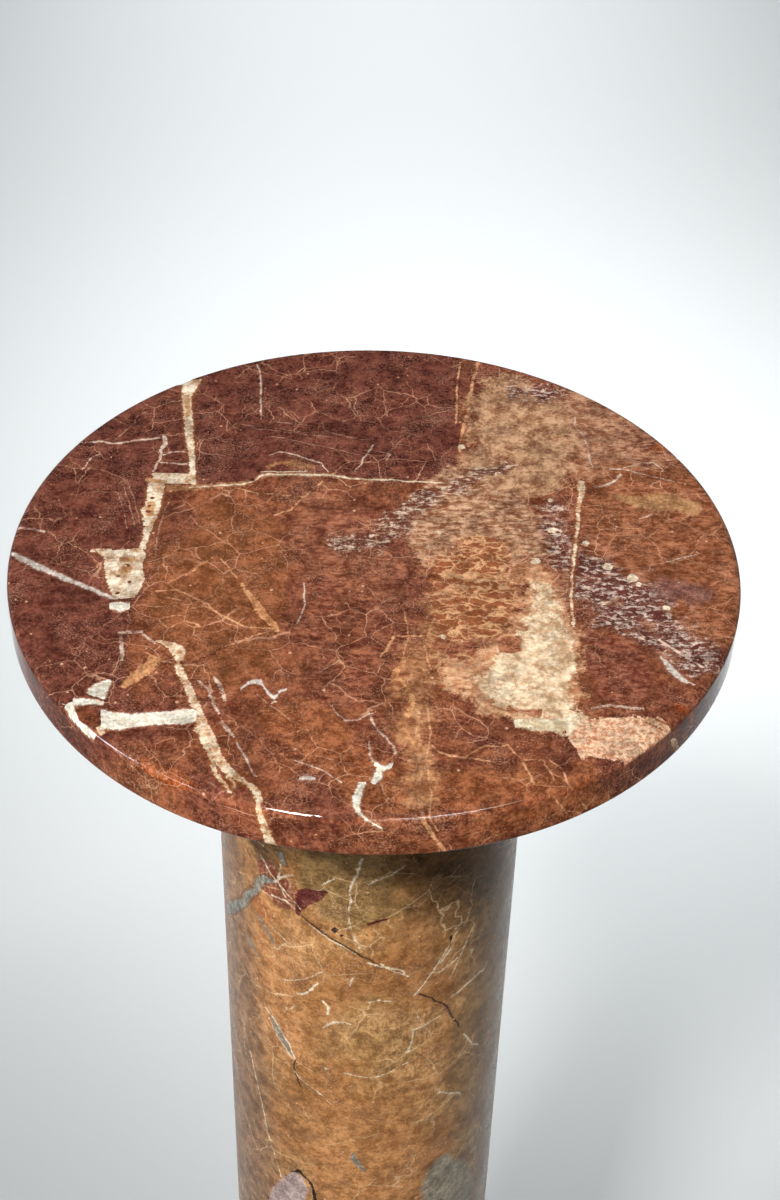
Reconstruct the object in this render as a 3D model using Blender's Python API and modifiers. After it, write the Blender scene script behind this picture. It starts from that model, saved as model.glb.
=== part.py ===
"""A free-standing marble pedestal column: a polished round slab on a plain turned shaft, with a round foot slab.

Metres, +Z up. The origin is the centre of the foot's underside, and the column's axis is Z.
Every piece is turned, so each one is a half profile swept round the axis.
"""

import math

import bpy

# Driving dimensions
COLUMN_HEIGHT = 1.000  # floor to the top slab's upper face
TOP_DIAMETER = 0.300
TOP_THICKNESS = 0.019  # a nominal 2 cm slab after polishing
TOP_UPPER_ARRIS = 0.003  # radius of the rounded upper edge
TOP_LOWER_ARRIS = 0.0015
SHAFT_DIAMETER = 0.1376
SHAFT_ARRIS = 0.0012
FOOT_DIAMETER = 0.300
FOOT_THICKNESS = 0.030
FOOT_UPPER_ARRIS = 0.003
FOOT_LOWER_ARRIS = 0.0015
BED_JOINT = 0.0003  # the thin joint where one piece beds on the next

# How finely the round forms are cut
TURN_STEPS = 128
ARC_STEPS = 5
SHAFT_BANDS = 6
MERGE_DISTANCE = 0.00001
SHARP_ANGLE = math.radians(40)

# Finishes: linear colour, roughness
RED_MARBLE = ((0.22, 0.062, 0.032, 1.0), 0.16)
OCHRE_MARBLE = ((0.27, 0.125, 0.048, 1.0), 0.20)


def clear_scene():
    """Removes whatever the open file holds."""
    for obj in list(bpy.data.objects):
        bpy.data.objects.remove(obj)


def marble(name, finish):
    """A polished stone with one overall colour."""
    colour, roughness = finish
    material = bpy.data.materials.new(name)
    material.use_nodes = True
    shader = material.node_tree.nodes["Principled BSDF"]
    shader.inputs["Base Color"].default_value = colour
    shader.inputs["Roughness"].default_value = roughness
    shader.inputs["Metallic"].default_value = 0.0
    return material


def quarter_round(centre_x, centre_z, radius, start_angle):
    """Points of a quarter circle that turns clockwise, seen with +X right and +Z up."""
    points = []
    for step in range(ARC_STEPS + 1):
        angle = start_angle - math.pi / 2 * step / ARC_STEPS
        points.append((centre_x + radius * math.cos(angle), centre_z + radius * math.sin(angle)))
    return points


def turned_profile(diameter, height, upper_arris, lower_arris, bands=1):
    """Half profile of a round block standing on z = 0, from the axis at the top to the axis below."""
    radius = diameter / 2
    upper = quarter_round(radius - upper_arris, height - upper_arris, upper_arris, math.pi / 2)
    lower = quarter_round(radius - lower_arris, lower_arris, lower_arris, 0.0)
    side_top = height - upper_arris
    side_length = side_top - lower_arris
    side = [(radius, side_top - side_length * band / bands) for band in range(1, bands)]
    return [(0.0, height), *upper, *side, *lower, (0.0, 0.0)]


def turned_piece(name, profile, base_z, material, collection):
    """One solid swept from its half profile, standing at base_z on the column's axis."""
    mesh = bpy.data.meshes.new(name)
    vertices = [(x, 0.0, z) for x, z in profile]
    edges = [(i, i + 1) for i in range(len(vertices) - 1)]
    mesh.from_pydata(vertices, edges, [])
    piece = bpy.data.objects.new(name, mesh)
    collection.objects.link(piece)
    piece.location.z = base_z
    mesh.materials.append(material)
    screw = piece.modifiers.new("Turn", "SCREW")
    screw.axis = "Z"
    screw.angle = 2 * math.pi
    screw.steps = TURN_STEPS
    screw.render_steps = TURN_STEPS
    screw.use_merge_vertices = True
    screw.merge_threshold = MERGE_DISTANCE
    screw.use_smooth_shade = True
    return piece


def freeze_turning(piece):
    """Makes the swept surface the piece's own mesh, shaded smooth with its edges kept sharp."""
    graph = bpy.context.evaluated_depsgraph_get()
    swept = bpy.data.meshes.new_from_object(piece.evaluated_get(graph))
    piece.modifiers.clear()
    piece.data = swept
    swept.shade_smooth()
    swept.set_sharp_from_angle(angle=SHARP_ANGLE)


def build_column():
    clear_scene()
    collection = bpy.data.collections.new("Marble column")
    bpy.context.scene.collection.children.link(collection)
    red = marble("Red marble", RED_MARBLE)
    ochre = marble("Ochre marble", OCHRE_MARBLE)

    shaft_base = FOOT_THICKNESS + BED_JOINT
    top_base = COLUMN_HEIGHT - TOP_THICKNESS
    shaft_length = top_base - BED_JOINT - shaft_base

    foot = turned_profile(FOOT_DIAMETER, FOOT_THICKNESS, FOOT_UPPER_ARRIS, FOOT_LOWER_ARRIS)
    shaft = turned_profile(SHAFT_DIAMETER, shaft_length, SHAFT_ARRIS, SHAFT_ARRIS, SHAFT_BANDS)
    top = turned_profile(TOP_DIAMETER, TOP_THICKNESS, TOP_UPPER_ARRIS, TOP_LOWER_ARRIS)

    pieces = [
        turned_piece("foot_slab", foot, 0.0, red, collection),
        turned_piece("shaft", shaft, shaft_base, ochre, collection),
        turned_piece("top_slab", top, top_base, red, collection),
    ]
    bpy.context.view_layer.update()
    for piece in pieces:
        freeze_turning(piece)


build_column()
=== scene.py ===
"""The looks of a marble pedestal column: a polished red slab on an ochre shaft, with a red foot slab.

The stone is drawn in layers of strokes. A stroke is a list of points (x, y, half width) in millimetres.
On a slab, x and y are seen from above, from its centre. On the shaft, x runs round the surface from the
front, and y is the height from the column's top, so it is below zero.
"""

import math
import random

import bmesh
import bpy
from mathutils import Matrix, Vector


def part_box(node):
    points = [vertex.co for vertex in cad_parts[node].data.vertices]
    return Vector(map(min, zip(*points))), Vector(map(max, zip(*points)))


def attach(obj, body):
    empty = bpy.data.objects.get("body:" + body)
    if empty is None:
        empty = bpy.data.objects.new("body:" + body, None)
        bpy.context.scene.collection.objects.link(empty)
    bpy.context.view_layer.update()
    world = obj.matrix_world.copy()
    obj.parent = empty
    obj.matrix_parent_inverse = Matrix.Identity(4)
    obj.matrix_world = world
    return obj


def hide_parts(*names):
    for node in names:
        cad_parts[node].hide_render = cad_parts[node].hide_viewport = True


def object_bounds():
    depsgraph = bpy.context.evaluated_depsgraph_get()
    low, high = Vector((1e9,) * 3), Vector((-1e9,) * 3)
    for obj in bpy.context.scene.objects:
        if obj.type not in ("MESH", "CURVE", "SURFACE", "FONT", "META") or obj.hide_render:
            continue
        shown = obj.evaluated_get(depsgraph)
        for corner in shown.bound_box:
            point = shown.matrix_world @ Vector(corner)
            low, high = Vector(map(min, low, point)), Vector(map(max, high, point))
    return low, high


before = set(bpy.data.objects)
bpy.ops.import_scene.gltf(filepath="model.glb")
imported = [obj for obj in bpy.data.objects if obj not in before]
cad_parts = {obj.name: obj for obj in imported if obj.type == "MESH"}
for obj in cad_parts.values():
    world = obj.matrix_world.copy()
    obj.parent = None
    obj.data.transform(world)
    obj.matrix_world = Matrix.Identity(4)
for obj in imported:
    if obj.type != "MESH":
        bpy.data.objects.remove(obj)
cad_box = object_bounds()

MM = 0.001
SPAN = 200.0  # millimetres to one unit of the stones' own coordinates
UNIT = SPAN * MM
LEVEL = 0.1  # what a stroke's field says at the stroke's edge, in those units

# Sizes that the solids have too
UPPER_ARRIS = 3.0 * MM
LOWER_ARRIS = 1.5 * MM
SHAFT_ARRIS = 1.2 * MM

# How finely the pieces are cut
SLAB_COLUMNS = 1440
SHAFT_COLUMNS = 720
UPPER_ARRIS_BANDS = 10
LOWER_ARRIS_BANDS = 5
SLAB_SIDE_BANDS = 12
FACE_BANDS = 12
SHAFT_SIDE_BANDS = 72
HOLDING_LOOP = 0.3 * MM  # keeps the flat faces flat beside their arris

# Chips on an upper edge: degrees round from +X, depth below the face, radius and bite in millimetres
TOP_CHIPS = [
    (-58.5, 0.9, 2.6, 0.5),
    (-55.6, 1.6, 1.6, 0.35),
    (-51.2, 1.4, 2.4, 0.5),
    (126.5, 0.6, 4.2, 0.7),
    (-141.0, 1.0, 1.8, 0.3),
    (-97.5, 0.8, 1.2, 0.22),
    (28.0, 1.0, 1.5, 0.3),
    (-24.0, 1.8, 2.0, 0.35),
    (171.0, 0.9, 1.4, 0.25),
]
FOOT_CHIPS = [
    (-70.0, 1.0, 2.2, 0.45),
    (-12.0, 0.9, 1.6, 0.3),
    (64.0, 1.2, 2.8, 0.5),
    (151.0, 0.8, 1.7, 0.3),
    (-133.0, 1.3, 2.4, 0.4),
]
CHIP_ZONE = 6 * MM  # how far from the edge a chip can reach
CHIP_LEAN = -0.8  # how much a chip bites down for each step inwards
CHIP_WAVES = (4100, 3300, 5200)  # how fast a chip's floor ripples along x, y and z, per metre

# Where the faces of a piece lie in the exported model's picture: discs as (x, y, radius), strips as
# (left, low, width, height), with the step from one strip to the next
SLAB_MAP = {
    "crown": (0.38, 0.62, 0.37),
    "base": (0.89, 0.11, 0.10),
    "strip": (0.005, 0.01, 0.775, 0.055),
    "step": (0.0, 0.07),
    "strips_round": 3,
    "strips_high": 1,
}
SHAFT_MAP = {
    "crown": (0.13, 0.89, 0.10),
    "base": (0.38, 0.89, 0.10),
    "strip": (0.005, 0.01, 0.485, 0.76),
    "step": (0.5, 0.0),
    "strips_round": 1,
    "strips_high": 2,
}
BASE_HOLE = 0.02  # the share of a base's disc that its innermost faces fill

# The parts of a piece that have a material each, so that none has to draw every stroke
SLAB_SECTORS = 8
SLAB_INNER_SECTORS = 4
SLAB_INNER_RADIUS = 85.75  # millimetres
DIP = (0.5, 0.25)  # how far the beds of a slab lean in x and y, for each step down
SHAFT_SECTORS = 8
SHAFT_TILE_LOWS = (-150.0, -215.0, -290.0, -400.0, -560.0, -740.0)  # millimetres from the top
TILE_MARGIN = 8.0  # how far a warped stroke may lie from where it was drawn, in millimetres
RAGGED_REACH = 0.35  # how far past its outline a stroke's ragged edge may reach, as a share of it
PROBE_STEP = 5  # millimetres between the places where a stroke looks round for tiles
PROBE_RINGS = (0.3, 0.65, 1.0)
PROBE_TURNS = 16

# Camera, fitted to the outlines in the photograph
IMAGE_WIDTH = 780
IMAGE_HEIGHT = 1200
FOCAL_PIXELS = 2038.0
SENSOR = 36.0
CAMERA_DISTANCE = 0.8389  # from the centre of the slab's face
CAMERA_ELEVATION = math.radians(39.56)
CAMERA_YAW = math.radians(-0.445)
CAMERA_PITCH = math.radians(-1.329)
CAMERA_ROLL = math.radians(-1.192)

# The room
FLOOR_REACH = 9.0  # metres from the column to the floor's edge
FLOOR_COLOUR = (0.45, 0.46, 0.465, 1.0)
FLOOR_ROUGHNESS = 0.7
SKY_COLOUR = (0.95, 0.98, 1.0, 1.0)
# Lights: name, place, target, width and height, power, colour, spread in degrees
LIGHTS = [
    ("Key", (-0.79, -1.7, 3.3), (0.0, 0.1, 0.9), (0.45, 0.45), 4.65, (1.0, 0.985, 0.96), 34.0),
    ("Overhead", (0.65, -0.95, 3.3), (0.0, 0.1, 0.9), (1.2, 0.15), 1.0, (1.0, 1.0, 1.0), 34.0),
    ("Front", (0.55, -1.9, 2.95), (0.0, 0.0, 0.9), (1.3, 0.03), 0.5, (1.0, 0.98, 0.95), 40.0),
    ("Side", (-1.9, -1.25, 2.5), (0.0, 0.0, 0.98), (0.55, 0.05), 0.18, (1.0, 0.98, 0.96), 30.0),
    ("Window", (-2.3, -0.5, 2.0), (0.0, 0.0, 0.98), (1.0, 0.16), 0.85, (0.72, 0.85, 1.0), 30.0),
    ("Floor", (0.0, 3.3, 3.2), (0.0, 2.18, 0.0), (1.7, 3.0), 33.0, (0.96, 0.99, 1.0), 40.0),
    ("Floor, near", (0.4, 2.0, 3.2), (0.4, 1.1, 0.0), (1.3, 0.8), 3.4, (0.96, 0.99, 1.0), 34.0),
]

# How the two stones differ. Sizes are in millimetres
RED_MARBLE = {
    "warps": (2.5, 0.7),  # how far the broad and the narrow strokes are moved about
    "long_way": (0.45, 1.0, 1.0),  # streaks are longer along the axis with the small number
    "clouds": 46.0,
    "ground": [("fine", (92, 44, 34), (140, 84, 64)), ("fine", (108, 56, 36), (154, 94, 64))],
    "drifts": None,
    "webs": [(16.0, (210, 158, 126), 0.8), (7.0, (190, 132, 100), 0.75)],
    # Tones for faces that point up and for the sides; the red marble's lighter side tone paints light onto
    # its rims
    "face_tone_and_painted_light": (0.66, 0.67, 0.67, 1.0),
    "side_tone_and_painted_light": (1.05, 1.05, 1.0, 1.0),
    "contrast": (0.68, 1.36),
    "shine": 0.3,
    "gloss": 0.04,
    "shader": {"IOR": 1.5},
}
OCHRE_MARBLE = {
    "warps": (3.0, 0.8),
    "long_way": (1.0, 1.0, 0.5),
    "clouds": 60.0,
    "ground": [("fine", (132, 86, 48), (166, 114, 70)), ("streaky", (150, 104, 62), (200, 152, 102))],
    "drifts": (188, 134, 92),
    "webs": [(26.0, (212, 178, 138), 0.8), (11.0, (206, 166, 126), 0.6)],
    "face_tone_and_painted_light": (1.38, 1.42, 1.4, 1.0),
    "side_tone_and_painted_light": (1.38, 1.42, 1.4, 1.0),
    "contrast": (0.74, 1.24),
    "shine": 0.25,
    "gloss": 0.24,
    "shader": {"IOR": 1.42, "Specular IOR Level": 0.36},
}
BROAD_WARP = 24.0  # how wide the waves are that move the broad strokes about
NARROW_WARP = 6.0
SPECK_SIZE = 4.6
SPECK_TONE = (226, 176, 140)
PIT_TONE = (46, 24, 18)
DOT_EDGE = 22.0  # how sharply specks and pits end
GLINT_TONE = (222, 172, 142)
SHALLOW_START = 1.2  # how deep a shallow layer starts to fade
SHALLOW_END = 3.4


def srgb(red, green, blue):
    """A linear colour from 8-bit screen values."""
    values = [v / 255 for v in (red, green, blue)]
    return (*[v / 12.92 if v <= 0.04045 else ((v + 0.055) / 1.055) ** 2.4 for v in values], 1.0)


def link(name, data):
    """A new object with the data, in the scene."""
    made = bpy.data.objects.new(name, data)
    bpy.context.scene.collection.objects.link(made)
    return made


def make_camera(target):
    """A camera that looks down at the slab from the front, turned by the photograph's small angles."""
    data = bpy.data.cameras.new("Camera")
    data.sensor_fit = "AUTO"
    data.sensor_width = SENSOR
    data.lens = FOCAL_PIXELS / max(IMAGE_WIDTH, IMAGE_HEIGHT) * SENSOR
    data.clip_start = 0.01
    camera = link("Camera", data)
    away = Vector((0.0, -math.cos(CAMERA_ELEVATION), math.sin(CAMERA_ELEVATION)))
    turn = Matrix.Rotation(math.pi / 2 - CAMERA_ELEVATION, 4, "X")
    turn = turn @ Matrix.Rotation(CAMERA_YAW, 4, "Y") @ Matrix.Rotation(CAMERA_PITCH, 4, "X")
    turn = turn @ Matrix.Rotation(-CAMERA_ROLL, 4, "Z")
    camera.matrix_world = Matrix.Translation(target + away * CAMERA_DISTANCE) @ turn
    bpy.context.scene.camera = camera


def quarter_round(centre, radius, start, bands):
    """Points of a quarter circle that turns clockwise, seen with +X right and +Z up."""
    angles = [start - math.pi / 2 * i / bands for i in range(bands + 1)]
    return [(centre[0] + radius * math.cos(a), centre[1] + radius * math.sin(a)) for a in angles]


def turned_profile(box, upper, lower, upper_bands, side_bands):
    """Half profile of a turned block that fills a box: its crown, its side and its base, top to bottom."""
    low, high = box
    radius = (high.x - low.x) / 2
    flat = radius - upper
    crown = [(flat * i / FACE_BANDS, high.z) for i in range(1, FACE_BANDS)]
    crown += [(flat - HOLDING_LOOP, high.z)]
    crown += quarter_round((flat, high.z - upper), upper, math.pi / 2, upper_bands)
    side_high = high.z - upper - HOLDING_LOOP
    side_low = low.z + lower + HOLDING_LOOP
    side_steps = range(side_bands + 1)
    side = [(radius, side_high + (side_low - side_high) * i / side_bands) for i in side_steps]
    flat = radius - lower
    base = quarter_round((flat, low.z + lower), lower, 0.0, LOWER_ARRIS_BANDS)
    base += [(flat - HOLDING_LOOP, low.z)]
    base += [(flat * (1 - i / FACE_BANDS), low.z) for i in range(1, FACE_BANDS)]
    return crown, side, base


def chipped(point, chips, radius, high):
    """The point of a slab's edge, moved inwards where a chip reaches it."""
    for degrees, depth, size, bite in chips:
        angle = math.radians(degrees)
        outward = Vector((math.cos(angle), math.sin(angle), 0.0))
        centre = outward * radius + Vector((0.0, 0.0, high - depth * MM))
        near = (point - centre).length / (size * MM)
        if near < 1.0:
            x, y, z = [place * wave for place, wave in zip(point, CHIP_WAVES)]
            ragged = math.sin(x) * math.sin(y + z)
            inward = (-outward + Vector((0.0, 0.0, CHIP_LEAN))).normalized()
            point = point + inward * bite * MM * (1.0 - near ** 3) * (0.75 + 0.25 * ragged)
    return point


def running_shares(points, start):
    """How far along a run of profile points each one is, from 0 to 1."""
    lengths = [0.0]
    for before, after in zip([start, *points], points):
        lengths.append(lengths[-1] + math.dist(before, after))
    return [length / lengths[-1] for length in lengths[1:]]


def disc_corner(disc, share, turn):
    """A place in a flat disc, share of the way out and turn of the way round."""
    x, y, radius = disc
    angle = 2 * math.pi * turn
    return x + radius * share * math.cos(angle), y + radius * share * math.sin(angle)


def strip_corner(layout, share, turn, share_low, turn_low):
    """A place in the flat strip that holds the face which starts at share_low and turn_low."""
    left, low, width, height = layout["strip"]
    rows = layout["strips_high"]
    columns = layout["strips_round"]
    row = min(int(share_low * rows + 1e-6), rows - 1)
    column = min(int(turn_low * columns + 1e-6), columns - 1)
    strip = row * columns + column
    x = left + layout["step"][0] * strip + width * (turn * columns - column)
    y = low + layout["step"][1] * strip + height * (1 - (share * rows - row))
    return x, y


def turned_piece(name, profile, columns, layout, chips=()):
    """A closed mesh of the profile turned round Z, chipped where asked, with its faces laid flat as well."""
    crown, side, base = profile
    high = crown[0][1]
    low = base[-1][1]
    radius = side[0][0]
    form = bmesh.new()
    flat_layer = form.loops.layers.uv.new("OFBake")
    rings = []
    for r, z in crown + side + base:
        ring = []
        for column in range(columns):
            angle = 2 * math.pi * column / columns
            point = Vector((r * math.cos(angle), r * math.sin(angle), z))
            if high - z < CHIP_ZONE and radius - r < CHIP_ZONE:
                point = chipped(point, chips, radius, high)
            ring.append(form.verts.new(point))
        rings.append(ring)

    def add_face(corners, places):
        face = form.faces.new(corners)
        for loop, place in zip(face.loops, places):
            loop[flat_layer].uv = place

    def add_band(upper, shares, part):
        """Faces between a ring and the next. The part of the layout is a strip or a disc."""
        def corner(share, turn, start):
            if part == "strip":
                return strip_corner(layout, share, turn, shares[0], start)
            return disc_corner(layout[part], share, turn)

        for column in range(columns):
            after = (column + 1) % columns
            turn = column / columns
            ends = (rings[upper], rings[upper + 1])
            corners = [ends[0][column], ends[1][column], ends[1][after], ends[0][after]]
            turns = [(0, turn), (1, turn), (1, (column + 1) / columns), (0, (column + 1) / columns)]
            add_face(corners, [corner(shares[i], at, turn) for i, at in turns])

    crown_shares = running_shares(crown, (0.0, high))
    side_bands = len(side) + 1
    side_shares = [index / side_bands for index in range(side_bands + 1)]
    base_shares = [1.0] + [1 - share for share in running_shares(base[1:], base[0])]
    base_shares = [share * (1 - BASE_HOLE) + BASE_HOLE for share in base_shares]
    upper = 0
    for part, shares in (("crown", crown_shares), ("strip", side_shares), ("base", base_shares)):
        for pair in zip(shares, shares[1:]):
            add_band(upper, pair, part)
            upper += 1

    top = form.verts.new((0.0, 0.0, high))
    bottom = form.verts.new((0.0, 0.0, low))
    for column in range(columns):
        after = (column + 1) % columns
        turns = (column / columns, (column + 1) / columns)
        crown_edge = [disc_corner(layout["crown"], crown_shares[0], turn) for turn in turns]
        base_edge = [disc_corner(layout["base"], BASE_HOLE, turn) for turn in turns]
        add_face((top, rings[0][column], rings[0][after]), (layout["crown"][:2], *crown_edge))
        add_face((bottom, rings[-1][after], rings[-1][column]), (layout["base"][:2], *base_edge[::-1]))

    mesh = bpy.data.meshes.new(name)
    form.to_mesh(mesh)
    form.free()
    mesh.shade_smooth()
    return link(name, mesh)


class Writer:
    """Writes the nodes of a material or a world, in the order in which they are worked out."""

    def __init__(self, tree):
        self.nodes = tree.nodes
        self.links = tree.links

    def feed(self, socket, value):
        if isinstance(value, bpy.types.NodeSocket):
            self.links.new(value, socket)
        else:
            socket.default_value = value

    def add(self, kind, inputs=(), **settings):
        """A new node. Its inputs are given by name or by number."""
        node = self.nodes.new("ShaderNode" + kind)
        for name, value in settings.items():
            setattr(node, name, value)
        for key, value in dict(inputs).items():
            self.feed(node.inputs[key], value)
        return node

    def math(self, operation, *values, clamp=False):
        node = self.add("Math", enumerate(values), operation=operation, use_clamp=clamp)
        return node.outputs["Value"]

    def vector(self, operation, *values):
        node = self.add("VectorMath", enumerate(values), operation=operation)
        return node.outputs["Value" if operation in ("DOT_PRODUCT", "DISTANCE") else "Vector"]

    def parts(self, vector):
        """The X, Y and Z of a vector."""
        return self.add("SeparateXYZ", {"Vector": vector}).outputs

    def noise(self, place, size, detail=3.0, roughness=0.55, distortion=0.0, output="Fac"):
        """Noise with features of about the size given, in millimetres."""
        inputs = {"Vector": place, "Scale": SPAN / size, "Detail": detail, "Roughness": roughness}
        return self.add("TexNoise", {**inputs, "Distortion": distortion}).outputs[output]

    def cells(self, place, size):
        """The distance to the nearest edge in a pattern of cells of the size given, in millimetres."""
        inputs = {"Vector": place, "Scale": SPAN / size}
        return self.add("TexVoronoi", inputs, feature="DISTANCE_TO_EDGE").outputs["Distance"]

    def spread(self, value, low, high, to_low=0.0, to_high=1.0):
        """value, stretched from one range to another with soft ends, and held there."""
        inputs = {"Value": value, "From Min": low, "From Max": high, "To Min": to_low, "To Max": to_high}
        node = self.add("MapRange", inputs, interpolation_type="SMOOTHSTEP", clamp=True)
        return node.outputs["Result"]

    def mix(self, factor, first, second, blend="MIX"):
        """Two colours mixed."""
        node = self.add("Mix", {"Factor": factor}, data_type="RGBA", blend_type=blend)
        colour_inputs = [socket for socket in node.inputs if socket.type == "RGBA"]
        for socket, value in zip(colour_inputs, (first, second)):
            self.feed(socket, value)
        return [socket for socket in node.outputs if socket.type == "RGBA"][0]

    def curve(self, value, points, handles):
        """A curve through points whose x and y run from 0 to 1."""
        node = self.add("FloatCurve", {"Value": value})
        node.mapping.extend = "HORIZONTAL"
        knots = node.mapping.curves[0].points
        knots[0].location = points[0]
        knots[1].location = points[-1]
        for point in points[1:-1]:
            knots.new(*point)
        for knot in knots:
            knot.handle_type = handles
        node.mapping.update()
        return node.outputs["Value"]

    def flat_place(self, x, y):
        """(x, y, 1), with which one dot product turns and shifts at once."""
        return self.add("CombineXYZ", {"X": x, "Y": y, "Z": 1.0}).outputs["Vector"]

    def warped(self, flat, place, size, amount, detail):
        """flat, moved about by noise at place: features of one size, moved by up to about the amount."""
        noise = self.noise(place, size, detail, output="Color")
        shift = self.vector("SUBTRACT", noise, (0.5, 0.5, 0.5))
        return self.vector("MULTIPLY_ADD", shift, (3 * amount / SPAN, 3 * amount / SPAN, 0.0), flat)

    def stroke(self, place, points, blunt, handles):
        """LEVEL on a stroke's edge, more inside it and less outside. One point alone is a round blob."""
        if len(points) == 1:
            x, y, radius = points[0]
            distance = self.vector("DISTANCE", place, (x / SPAN, y / SPAN, 1.0))
            return self.math("SUBTRACT", LEVEL + radius / SPAN, distance)
        start = Vector(points[0][:2])
        end = Vector(points[-1][:2])
        length = (end - start).length
        along = (end - start) / length
        across = Vector((-along.y, along.x))
        before = points[0][2] + 1.0 if blunt is None else blunt
        after = points[-1][2] + 1.0 if blunt is None else blunt
        whole = before + length + after
        shift = (before - along.dot(start)) / whole
        u = self.vector("DOT_PRODUCT", place, (along.x * SPAN / whole, along.y * SPAN / whole, shift))
        v = self.vector("DOT_PRODUCT", place, (across.x, across.y, 0.5 - across.dot(start) / SPAN))
        path = []
        width = [(0.0, 0.0)]
        for x, y, half in points:
            offset = Vector((x, y)) - start
            at = (before + along.dot(offset)) / whole
            path.append((at, 0.5 + across.dot(offset) / SPAN))
            width.append((at, LEVEL + half / SPAN))
        width.append((1.0, 0.0))
        middle = self.curve(u, path, handles) if len(points) > 2 else 0.5
        aside = self.math("ABSOLUTE", self.math("SUBTRACT", v, middle))
        return self.math("SUBTRACT", self.curve(u, width, "VECTOR"), aside)

    def strokes(self, place, lines, blunt, handles):
        """The field of several strokes laid over each other, in a node group of its own."""
        tree = bpy.data.node_groups.new("Strokes", "ShaderNodeTree")
        tree.interface.new_socket("Place", in_out="INPUT", socket_type="NodeSocketVector")
        tree.interface.new_socket("Field", in_out="OUTPUT", socket_type="NodeSocketFloat")
        inner = Writer(tree)
        inlet = inner.nodes.new("NodeGroupInput").outputs["Place"]
        field = None
        for points in lines:
            one = inner.stroke(inlet, points, blunt, handles)
            field = one if field is None else inner.math("MAXIMUM", field, one)
        inner.feed(inner.nodes.new("NodeGroupOutput").inputs["Field"], field)
        group = self.add("Group", node_tree=tree)
        self.feed(group.inputs["Place"], place)
        return group.outputs["Field"]

    def inside(self, field, soft, ragged, texture):
        """1 inside strokes and 0 outside, over a soft edge that a texture makes ragged, in millimetres."""
        centre = LEVEL + ragged / SPAN / 2
        reach = soft / SPAN / 2
        if ragged:
            field = self.math("MULTIPLY_ADD", texture, ragged / SPAN, field)
        return self.spread(field, centre - reach, centre + reach)

    def paint(self, colour, layers, places, grains):
        """Lays the layers over a colour, one by one."""
        for one in layers:
            field = self.strokes(places[one["place"]], one["strokes"], one["blunt"], one["handles"])
            if one["border"]:
                width, tone = one["border"]
                outer = self.math("ADD", field, width / SPAN)
                outer = self.inside(outer, one["soft"] * 2, one["ragged"], grains[one["edge"]])
                colour = self.mix(outer, colour, srgb(*tone))
            mask = self.inside(field, one["soft"], one["ragged"], grains[one["edge"]])
            if one["cover"] < 1.0:
                mask = self.math("MULTIPLY", mask, one["cover"])
            for fading in ("broken", "shallow"):
                if one[fading]:
                    mask = self.math("MULTIPLY", mask, grains[fading])
            tone = self.mix(grains[one["grain"]], srgb(*one["dark"]), srgb(*one["light"]))
            if one["core"]:
                depth, core = one["core"]
                deep = self.math("SUBTRACT", field, depth / SPAN)
                deep = self.inside(deep, 1.2, 5.0, grains["torn"])
                tone = self.mix(self.math("MULTIPLY", deep, 0.8), tone, srgb(*core))
            colour = self.mix(mask, colour, tone)
        return colour


def layer(dark, light, strokes, grain="fine", soft=0.5, ragged=1.0, place="narrow", edge="nibbled",
          blunt=None, cover=1.0, handles="AUTO_CLAMPED", border=None, core=None, broken=False,
          shallow=False):
    """One layer of a stone: two tones that a grain mixes, and the strokes that it fills.

    Soft is the width of its edge, and ragged how far a texture moves the edge. A blunt stroke ends that
    far past its last point. A border is a width in millimetres and a tone, round each stroke. A core is a
    depth and a tone, in patches inside it. A broken layer fades here and there, and a shallow one ends just
    under a slab's face.
    """
    return dict(locals())


def field(dark, light, strokes, grain="fine", soft=3.0, ragged=20.0, **more):
    """A layer with a wide, ragged edge."""
    return layer(dark, light, strokes, grain, soft, ragged, "broad", "torn", **more)


def line(half, *points):
    """A stroke of one half width."""
    return [(x, y, half) for x, y in points]


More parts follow.
